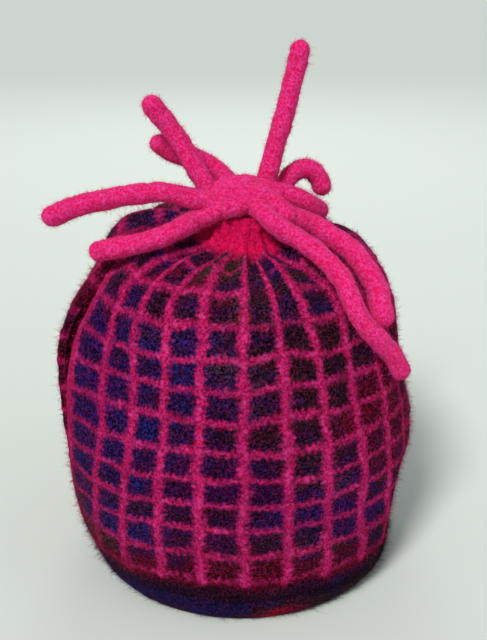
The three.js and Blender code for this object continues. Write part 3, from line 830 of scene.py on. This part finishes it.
def make_shell(material):
    """Both panels, outside and inside, joined at the hem, the slits and the top."""
    columns, low_steps, slit_steps, high_steps = 224, 20, 104, 48
    low = np.linspace(0, SLIT_FROM, low_steps + 1)
    middle = np.linspace(SLIT_FROM, SLIT_TO, slit_steps + 1)[1:]
    high = np.linspace(SLIT_TO, len(PROFILE) - 1, high_steps + 1)[1:]
    rows = np.concatenate([low, middle, high])
    beside_slit = slice(low_steps, low_steps + slit_steps + 1)
    # The inside has a quarter of the steps.
    inner_low = 4
    inner_foot = np.linspace(0, SLIT_FROM, inner_low + 1)
    inner_rows = np.concatenate([inner_foot, middle[3::4], INNER_TOP_ROWS])
    inner_beside_slit = slice(inner_low, inner_low + slit_steps // 4 + 1)
    points, knits, quads, triangles, count = [], [], [], [], 0

    def add(block, knit):
        nonlocal count
        points.append(block.reshape(-1, 3))
        knits.append(np.broadcast_to(knit, (*block.shape[:-1], 2)).reshape(-1, 2))
        start = count
        count += block.size // 3
        return np.arange(start, count).reshape(block.shape[:-1])

    def weave(grid, flip=False):
        made = quad_grid(grid)
        quads.append(made[:, [1, 0, 3, 2]] if flip else made)

    for panel in ("front", "back"):
        share, row = np.meshgrid(np.linspace(0, 1, columns + 1), rows)
        knit = knit_place(panel, share, row)
        outer = add(felted(panel, share, row, knit), knit)
        weave(outer)
        share_in, row_in = np.meshgrid(np.linspace(0, 1, columns // 4 + 1), inner_rows)
        inner = add(inside(panel, share_in, row_in), knit_place(panel, share_in, row_in))
        weave(inner, flip=True)
        triangles += zip_edges(outer[0][::-1], inner[0][::-1])
        middle_top = knit_place(panel, np.array(0.5), np.array(len(PROFILE) - 1.1))
        top = add(np.array([0, 0, PROFILE[-1, 0]]), middle_top)
        ceiling = add(np.array([0, 0, CEILING_Z]), middle_top)
        triangles += [(a, b, int(top)) for a, b in zip(outer[-1], outer[-1][1:])]
        triangles += [(b, a, int(ceiling)) for a, b in zip(inner[-1], inner[-1][1:])]
        # Each slit edge is a soft round lip between the outside and the inside.
        for column, side in ((0, -1), (-1, 1)):
            edge_share = np.full(slit_steps + 1, 0.0 if side < 0 else 1.0)
            edge_row = rows[beside_slit]
            edge_knit = knit_place(panel, edge_share, edge_row)
            out = felted(panel, edge_share, edge_row, edge_knit)
            deep = inside(panel, edge_share, edge_row)
            angle, _ = panel_place(panel, edge_share, edge_row)
            away = unit(surface_point(angle + side, edge_row) - surface_point(angle, edge_row))
            lip = [outer[beside_slit, column]]
            for k in (1, 2, 3):
                across = (1 - math.cos(k * math.pi / 4)) / 2
                bulge = LIP_BULGE * math.sin(k * math.pi / 4) * slit_shape(edge_row)
                ring = out + (deep - out) * across + away * bulge[:, None]
                lip.append(add(ring, edge_knit))
            grid = np.stack(lip, 1)
            weave(grid, flip=side < 0)
            coarse = inner[inner_beside_slit, column]
            if side < 0:
                triangles += zip_edges(grid[::-1, -1], coarse[::-1])
            else:
                triangles += zip_edges(grid[:, -1], coarse)
    points, knits = np.concatenate(points), np.concatenate(knits)
    faces = [np.concatenate(quads), np.array(triangles)]
    return add_mesh("shell", points, faces, [material], uv=knits, merge=True)


def paint_yarn(obj):
    """Stores the dark yarn's slow change of shade on the mesh, corner by corner."""
    mesh = obj.data
    weights = shade_weights(read(mesh.uv_layers["Knit"].uv, "vector", 2))
    colors = weights @ np.array(list(SHADES.values()))
    layer = mesh.color_attributes.new("yarn", "FLOAT_COLOR", "CORNER")
    colors = np.concatenate([colors, np.ones((len(colors), 1))], 1)
    layer.data.foreach_set("color", colors.ravel())


# ---------- cords and knot
def centre_line(route, step):
    """The smooth curve through the route's points, in even steps."""
    p = np.asarray(route, float)
    p = np.vstack([2 * p[0] - p[1], p, 2 * p[-1] - p[-2]])
    dense = []
    for a, b, c, d in zip(p, p[1:], p[2:], p[3:]):
        ab, bc, cd = (math.sqrt(np.linalg.norm(y - x)) for x, y in ((a, b), (b, c), (c, d)))
        lead = ((b - a) / ab - (c - a) / (ab + bc) + (c - b) / bc) * bc
        trail = ((c - b) / bc - (d - b) / (bc + cd) + (d - c) / cd) * bc
        t = np.linspace(0, 1, 40, endpoint=False)[:, None]
        bend = -3 * b + 3 * c - 2 * lead - trail
        dense.append(b + t * (lead + t * (bend + t * (2 * b - 2 * c + lead + trail))))
    dense = np.vstack([*dense, p[-2]])
    along = np.concatenate([[0], np.cumsum(np.linalg.norm(np.diff(dense, axis=0), axis=1))])
    even = np.linspace(0, along[-1], max(4, int(along[-1] / step)) + 1)
    return np.stack([np.interp(even, along, dense[:, k]) for k in range(3)], -1)


def tube(route, radius, sides, step, seed=0, lumpy=1.0):
    """Points and faces of a felted cord with a round tip, its root inside the knot."""
    line = centre_line(route, step)
    tangents = unit(np.gradient(line, axis=0))
    side = unit(np.cross(tangents[0], (0.3, 0.5, 1.0)))
    frames = []
    for t in tangents:
        side = unit(side - t * (side @ t))
        frames.append((side, np.cross(t, side)))
    rings = []
    swell = lumps(np.stack([np.arange(len(line)) * step] * 3, -1), SWELL_LENGTH, seed)

    def ring(middle, k, size):
        turns = np.arange(sides) * 2 * np.pi / sides
        a, b = frames[k]
        spoke = np.cos(turns)[:, None] * a + np.sin(turns)[:, None] * b
        at = middle + spoke * size
        lift = felt_lumps(at, CORD_LUMPS, seed) * lumpy * min(1, size / radius * 1.2)
        rings.append(at + spoke * lift[:, None])

    for k in range(len(line)):
        ring(line[k], k, radius * (1 + CORD_SWELL * lumpy * swell[k]))
    for lean in TIP_LEANS:
        middle = line[-1] + tangents[-1] * radius * math.sin(lean)
        ring(middle, -1, radius * math.cos(lean))
    return capped(np.array(rings), [line[0], line[-1] + tangents[-1] * radius])


def make_knot(material):
    """The crossing cord ends, felted into one lump over the neck."""
    parts = [
        tube(route, BIGHT_RADIUS, BIGHT_SIDES, BIGHT_STEP, seed=60 + i, lumpy=BIGHT_LUMPY)
        for i, route in enumerate(BIGHTS)
    ]
    turns, tilts = np.meshgrid(
        np.linspace(0, 2 * np.pi, MOUND_SIDES + 1)[:-1],
        np.linspace(-MOUND_TILT, MOUND_TILT, MOUND_RINGS),
    )
    mound = np.stack(
        [np.cos(turns) * np.cos(tilts), np.sin(turns) * np.cos(tilts), np.sin(tilts)], -1
    )
    ends = np.array([(0, 0, -1), (0, 0, 1)])
    mound, ends = (at * KNOT_SIDES + (0, 0, KNOT_Z) for at in (mound, ends))
    parts.append(capped(mound, ends))
    quads, fans, count = [], [], 0
    for points, (quad, fan) in parts:
        quads.append(quad + count)
        fans.append(fan + count)
        count += len(points)
    faces = [np.concatenate(quads), np.concatenate(fans)]
    points = np.concatenate([part[0] for part in parts])
    obj = add_mesh("knot", points, faces, [material])
    remesh = obj.modifiers.new("felted", "REMESH")
    remesh.mode = "VOXEL"
    remesh.voxel_size = KNOT_VOXEL / 1000
    remesh.use_smooth_shade = True
    soften = obj.modifiers.new("soften", "SMOOTH")
    soften.factor, soften.iterations = 0.5, 5
    bpy.context.view_layer.objects.active = obj
    obj.select_set(True)
    for name in ("felted", "soften"):
        bpy.ops.object.modifier_apply(modifier=name)
    obj.select_set(False)
    mesh = obj.data
    at, normal = read(mesh.vertices, "co") * 1000, read(mesh.vertices, "normal")
    at = at + normal * felt_lumps(at, KNOT_LUMPS)[:, None]
    mesh.vertices.foreach_set("co", (at / 1000).ravel())
    mesh.update()
    return obj


# ---------- the fuzz
ROOTS_TRIED = 4.8  # roots drawn for each fibre, as many fall inside or are thinned
# Roots grow on what faces out from the axis and not down, above the hem's edge.
MOST_INWARD, MOST_DOWNWARD, LOWEST_ROOT = -0.2, -0.8, 0.4
LEAST_FLUFF, FLUFF_REACH = 0.42, 8  # the share kept high up, and the hem's reach in mm
# Pink fibres over the dark checks: stray ones, and a haze towards the spout slit.
STRAY_PINK, HAZE, HAZE_CHECKS = 1.8, 0.25, (9.8, 12.2)
# Fibres are this far under the surface at the root, and turn up near the table.
ROOT_DEPTH, UPWARD_UNDER = 0.3, 12
# At the hem they are half as long again, which fades over this height.
HEM_LONGER, HEM_REACH = 0.5, 15
KNEE_SIZE, TURN_AT_KNEE = 0.85, 0.8
CORNERS = (0, 1), (1, 2), (2, 0)


def roots_on(obj, count):
    """Random points on a mesh by area, with normals and the Knit place there."""
    mesh = obj.data
    mesh.calc_loop_triangles()
    triangles = mesh.loop_triangles
    corner, loop = (read(triangles, key, kind=int) for key in ("vertices", "loops"))
    co = read(mesh.vertices, "co") * 1000 - NECK
    a, b, c = (co[corner[:, k]] for k in range(3))
    cross = np.cross(b - a, c - a)
    area = np.linalg.norm(cross, axis=1)
    pick = rng.choice(len(area), count, p=area / area.sum())
    r = np.sqrt(rng.random(count))
    s = rng.random(count)
    w = np.stack([1 - r, r * (1 - s), r * s], -1)
    at = w[:, :1] * a[pick] + w[:, 1:2] * b[pick] + w[:, 2:] * c[pick]
    knit = None
    if mesh.uv_layers:
        ends = read(mesh.uv_layers[0].uv, "vector", 2)[loop[pick]]
        knit = (w[..., None] * ends).sum(1)
    return at, unit(cross[pick]), knit


def make_fuzz(name, at, normal, tones, materials, length, width, lift, bent):
    """Thin tapered wool fibres: three-sided closed spikes, straight or bent once."""
    count = len(at)
    random = unit(rng.normal(size=(count, 3)))
    flat = unit(random - normal * (random * normal).sum(1, keepdims=True))
    rise = rng.uniform(*lift, count)[:, None]
    size = (length[0] + (length[1] - length[0]) * rng.random(count) ** 2)[:, None]
    size = size * (1 + HEM_LONGER * np.exp(-at[:, 2:] / HEM_REACH))
    half = rng.uniform(*width, count)[:, None] / 2
    start = unit(flat * np.cos(rise) + normal * np.sin(rise))
    low = at[:, 2] < UPWARD_UNDER
    start[low, 2] = np.abs(start[low, 2])
    side = unit(np.cross(start, normal + 0.01))
    other = np.cross(start, side)
    base = at - normal * ROOT_DEPTH

    def ring(middle, radius):
        for turned in (0, 2 * math.pi / 3, 4 * math.pi / 3):
            yield middle + radius * (side * math.cos(turned) + other * math.sin(turned))

    rings, plan = list(ring(base, half)), [(0, 2, 1)]
    if bent:
        knee = base + start * size * 0.5
        turned = TURN_AT_KNEE * unit(rng.normal(size=(count, 3)))
        onward = unit(start + turned - normal * 0.1)
        onward[low, 2] = np.abs(onward[low, 2])
        tip = knee + onward * size * 0.5
        rings += list(ring(knee, half * KNEE_SIZE))
        for k, j in CORNERS:
            plan += [(k, j, 3 + j), (k, 3 + j, 3 + k)]
    else:
        tip = base + start * size
    top = len(rings)
    plan += [(top - 3 + k, top - 3 + j, top) for k, j in CORNERS]
    points = np.stack([*rings, tip], 1).reshape(-1, 3)
    faces = (np.array(plan)[None] + (top + 1) * np.arange(count)[:, None, None]).reshape(-1, 3)
    slots = np.repeat(tones, len(plan))
    return add_mesh(name, points, [faces], materials, slots=slots)


# ---------- camera, light, floor
LENS, SENSOR, CLIP = 52.875, 36, (0.01, 200)
CAMERA_PLACE, CAMERA_TURN = (-0.1162, -0.4501, 0.315), (68.3, 0, -15)
# Each area light's place, target, size in metres, power and colour.
AREA_LIGHTS = {
    "fill": ((1.1, -0.9, 0.7), (0, 0, 0.1), 1.2, 3, (0.93, 0.96, 1.0)),
    "back": ((0.3, 1.3, 1.1), (0, 0, 0.12), 0.8, 5, (1.0, 0.97, 0.95)),
}
KEY_WAY, KEY_POWER, KEY_ANGLE = (0.62, 0.72, -1.0), 3.0, 14
KEY_COLOR = (1.0, 0.97, 0.93)
SKY, SKY_POWER = (0.86, 0.9, 0.92, 1), 0.4
BACKDROP = (0.62, 0.68, 0.64, 1)
FLOOR_COLOR, FLOOR_HALF, FLOOR_Z = (0.6, 0.66, 0.62), 40, -0.0002
SQUARE = (-1, -1), (1, -1), (1, 1), (-1, 1)


def make_stage():
    scene = bpy.context.scene
    scene.view_settings.view_transform = "Standard"
    camera = bpy.data.objects.new("camera", bpy.data.cameras.new("camera"))
    camera.data.lens, camera.data.sensor_width = LENS, SENSOR
    camera.location = CAMERA_PLACE
    camera.rotation_euler = [math.radians(a) for a in CAMERA_TURN]
    camera.data.clip_start, camera.data.clip_end = CLIP
    scene.collection.objects.link(camera)
    scene.camera = camera

    def light(name, kind, way, power, color):
        made = bpy.data.objects.new(name, bpy.data.lights.new(name, kind))
        made.data.energy, made.data.color = power, color
        made.rotation_euler = Vector(way).to_track_quat("-Z", "Y").to_euler()
        scene.collection.objects.link(made)
        return made

    light("key", "SUN", KEY_WAY, KEY_POWER, KEY_COLOR).data.angle = math.radians(KEY_ANGLE)
    for name, (place, target, size, power, color) in AREA_LIGHTS.items():
        lamp = light(name, "AREA", np.array(target) - np.array(place), power, color)
        lamp.data.shape, lamp.data.size = "DISK", size
        lamp.location = place
    world = bpy.data.worlds.new("world")
    world.use_nodes = True
    nodes, links = world.node_tree.nodes, world.node_tree.links
    nodes["Background"].inputs[0].default_value = SKY
    nodes["Background"].inputs[1].default_value = SKY_POWER
    # Past the floor's edge the backdrop is as pale as the floor.
    pale, path = nodes.new("ShaderNodeBackground"), nodes.new("ShaderNodeLightPath")
    pale.inputs[0].default_value = BACKDROP
    either = nodes.new("ShaderNodeMixShader")
    links.new(path.outputs["Is Camera Ray"], either.inputs[0])
    links.new(nodes["Background"].outputs[0], either.inputs[1])
    links.new(pale.outputs[0], either.inputs[2])
    links.new(either.outputs[0], nodes["World Output"].inputs[0])
    scene.world = world

    mesh = bpy.data.meshes.new("floor")
    corners = [(x * FLOOR_HALF, y * FLOOR_HALF, FLOOR_Z) for x, y in SQUARE]
    mesh.from_pydata(corners, [], [(0, 1, 2, 3)])
    mesh.materials.append(Shader("floor", FLOOR_COLOR, 0.7).material)
    floor = bpy.data.objects.new("floor", mesh)
    scene.collection.objects.link(floor)


def keep(piece, node=None):
    """Sets a piece on the object's one body, in place of a node if it stands for one."""
    if node:
        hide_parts(node)
    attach(piece, "root")
    return piece


# ---------- the cosy
make_stage()
checked, pink = checked_felt(), pink_felt()

shell = make_shell(checked)
paint_yarn(shell)
keep(shell, "body")

cords = []
for index, (cord_name, cord_route) in enumerate(CORDS.items()):
    radius = PLUMP_RADIUS if cord_name == PLUMP_CORD else CORD_RADIUS
    start = np.array(cord_route[0])
    root = start + ((0, 0, KNOT_Z) - start) * ROOT_IN
    cord_points, cord_faces = tube(
        [tuple(root), *cord_route], radius, CORD_SIDES, CORD_STEP, seed=100 + 7 * index
    )
    cord = add_mesh(cord_name + "_felt", cord_points, cord_faces, [pink])
    cords.append(keep(cord, cord_name))
knot = keep(make_knot(pink), "crown_knot")

pink_fibres = fibres({"pink": PINK, "light_pink": PINK_LIGHT, "red_pink": PINK_RED})
# The grid's fuzz takes the same darkened pinks, so it carries the grid's painted shade.
shaded_grid_fibres = fibres({"grid": GRID_SHADED_PINK, "pale_shaded_grid": GRID_SHADED_PALE, "red_shaded_grid": GRID_SHADED_RED})
# The dark fuzz takes the yarn's shades, and with them the mauve haze's painted sheen.
dark_fibres = fibres(
    {name: tuple(1.7 * c + 0.001 for c in color) for name, color in SHADES.items()}
)


def shell_fibres(name, count, length, width, lift, bent, stray):
    """Fuzz on the shell's outside, each fibre in the colour of its stitch."""
    at, normal, knit = roots_on(shell, int(count * ROOTS_TRIED))
    from_axis = np.hypot(at[:, 0], at[:, 1])
    outside = (normal * at * (1, 1, 0)).sum(1) > MOST_INWARD * from_axis
    outside = outside & (normal[:, 2] > MOST_DOWNWARD) & (at[:, 2] > LOWEST_ROOT)
    # The wool is fluffiest at the hem.
    fluff = LEAST_FLUFF + (1 - LEAST_FLUFF) * np.exp(-at[:, 2] / FLUFF_REACH)
    outside = outside & (rng.random(len(at)) < fluff)
    at, normal, knit = (a[outside][:count] for a in (at, normal, knit))
    is_pink = pinkness(knit + rng.normal(size=knit.shape) * stray) > 0.5
    haze = HAZE * smooth(*HAZE_CHECKS, knit[:, 0]) * (knit[:, 0] < BACK_FIRST)
    hazy = STRAY_PINK * stray + haze
    is_pink = is_pink | ((rng.random(len(at)) < hazy) & (knit[:, 1] > 0))
    weights = shade_weights(knit).cumsum(1)
    shade = (rng.random((len(at), 1)) > weights).sum(1).clip(0, len(SHADES) - 1)
    pinks = len(shaded_grid_fibres)
    tones = np.where(is_pink, rng.integers(0, pinks, len(at)), pinks + shade)
    materials = shaded_grid_fibres + dark_fibres
    fuzz = make_fuzz(name, at, normal, tones, materials, length, width, lift, bent)
    return keep(fuzz)


# Name, count, then length, width and slope in ranges, bent or not, stray colours.
shell_fuzz = [
    shell_fibres("shell_down_1", 40000, (1.3, 4.2), (0.1, 0.17), (0.2, 1.3), False, 0.09),
    shell_fibres("shell_down_2", 40000, (1.3, 4.2), (0.1, 0.17), (0.2, 1.3), False, 0.09),
    shell_fibres("shell_fuzz", 16000, (2.8, 7.2), (0.1, 0.16), (0.5, 1.45), True, 0.13),
]

# The same for each cord, with the knot's count last.
for name, count, knot_count, length, width, lift, bent in (
    ("cord_down", 4000, 5000, (1.0, 2.8), (0.1, 0.17), (0.3, 1.35), False),
    ("cord_fuzz", 800, 1000, (2.2, 5.0), (0.09, 0.14), (0.5, 1.5), True),
):
    roots = [roots_on(cord, count) for cord in cords] + [roots_on(knot, knot_count)]
    at = np.concatenate([r[0] for r in roots])
    normal = np.concatenate([r[1] for r in roots])
    tones = rng.integers(0, len(pink_fibres), len(at))
    fuzz = make_fuzz(name, at, normal, tones, pink_fibres, length, width, lift, bent)
    keep(fuzz)
